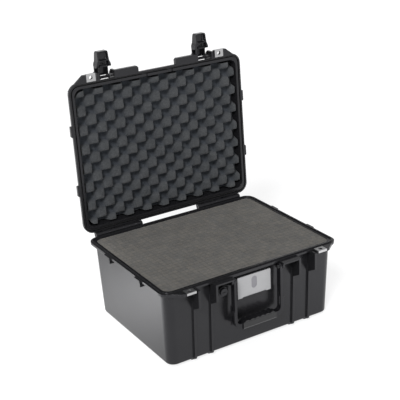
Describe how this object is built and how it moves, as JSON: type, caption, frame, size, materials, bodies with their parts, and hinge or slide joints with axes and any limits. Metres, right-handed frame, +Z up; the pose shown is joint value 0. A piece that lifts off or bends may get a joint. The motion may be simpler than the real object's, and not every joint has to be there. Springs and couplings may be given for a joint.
{
  "type": "hard equipment case",
  "caption": "Hard plastic equipment case standing open, with draw latches, drop handle, purge valve, padlock tabs and foam filling.",
  "frame": {"origin": "on the floor, under the middle of the base, at the underside of its runners", "axes": "+Z up; the front with the handle and latches faces -Y; the hinge is on the +Y side; +X to the right seen from the front"},
  "size_m": [0.489, 0.4699, 0.6368],
  "materials": {
    "case_plastic": "satin",
    "trim_plastic": "satin",
    "steel": "satin",
    "rubber": "matte",
    "card": "satin",
    "foam": "matte"
  },
  "bodies": {
    "base": {"base_shell": "case_plastic", "base_padlock_plate_left": "steel", "base_padlock_plate_right": "steel", "hinge_pin_left": "steel", "hinge_pin_right": "steel", "handle_pin_left": "steel", "handle_pin_right": "steel", "purge_valve_body": "trim_plastic", "purge_valve_knob": "trim_plastic", "purge_valve_oring": "rubber", "purge_valve_nut": "trim_plastic", "card_holder": "trim_plastic", "card_plate": "card", "base_foam_pad": "foam", "base_foam_lower": "foam", "base_foam_upper": "foam"},
    "handle": {"handle_frame": "case_plastic", "handle_grip": "rubber"},
    "lid": {"lid_shell": "case_plastic", "lid_gasket": "rubber", "lid_foam": "foam", "lid_padlock_plate_left": "steel", "lid_padlock_plate_right": "steel", "latch_pin_left": "steel", "latch_pin_right": "steel"},
    "latch_left": {"latch_frame_left": "case_plastic", "lever_pin_left": "steel", "lever_spring_left": "steel"},
    "lever_left": {"latch_lever_left": "case_plastic"},
    "latch_right": {"latch_frame_right": "case_plastic", "lever_pin_right": "steel", "lever_spring_right": "steel"},
    "lever_right": {"latch_lever_right": "case_plastic"}
  },
  "joints": [
    {"name": "lid_hinge", "type": "hinge", "parent": "base", "child": "lid", "pos_m": [0, 0.195, 0.1942], "axis": [1, 0, 0], "range_deg": [0, 93]},
    {"name": "handle_pivot", "type": "hinge", "parent": "base", "child": "handle", "pos_m": [0, -0.192, 0.181], "axis": [-1, 0, 0], "range_deg": [0, 95]},
    {"name": "latch_pivot_left", "type": "hinge", "parent": "lid", "child": "latch_left", "pos_m": [-0.13665, 0.23277, 0.57474], "axis": [1, 0, 0], "range_deg": [0, 90]},
    {"name": "lever_pivot_left", "type": "hinge", "parent": "latch_left", "child": "lever_left", "pos_m": [-0.13665, 0.23949, 0.60744], "axis": [-1, 0, 0], "range_deg": [0, 30], "stiffness_Nm_per_rad": 0.03, "springref_deg": -17.19},
    {"name": "latch_pivot_right", "type": "hinge", "parent": "lid", "child": "latch_right", "pos_m": [0.13665, 0.23277, 0.57474], "axis": [1, 0, 0], "range_deg": [0, 90]},
    {"name": "lever_pivot_right", "type": "hinge", "parent": "latch_right", "child": "lever_right", "pos_m": [0.13665, 0.23949, 0.60744], "axis": [-1, 0, 0], "range_deg": [0, 30], "stiffness_Nm_per_rad": 0.03, "springref_deg": -17.19}
  ]
}
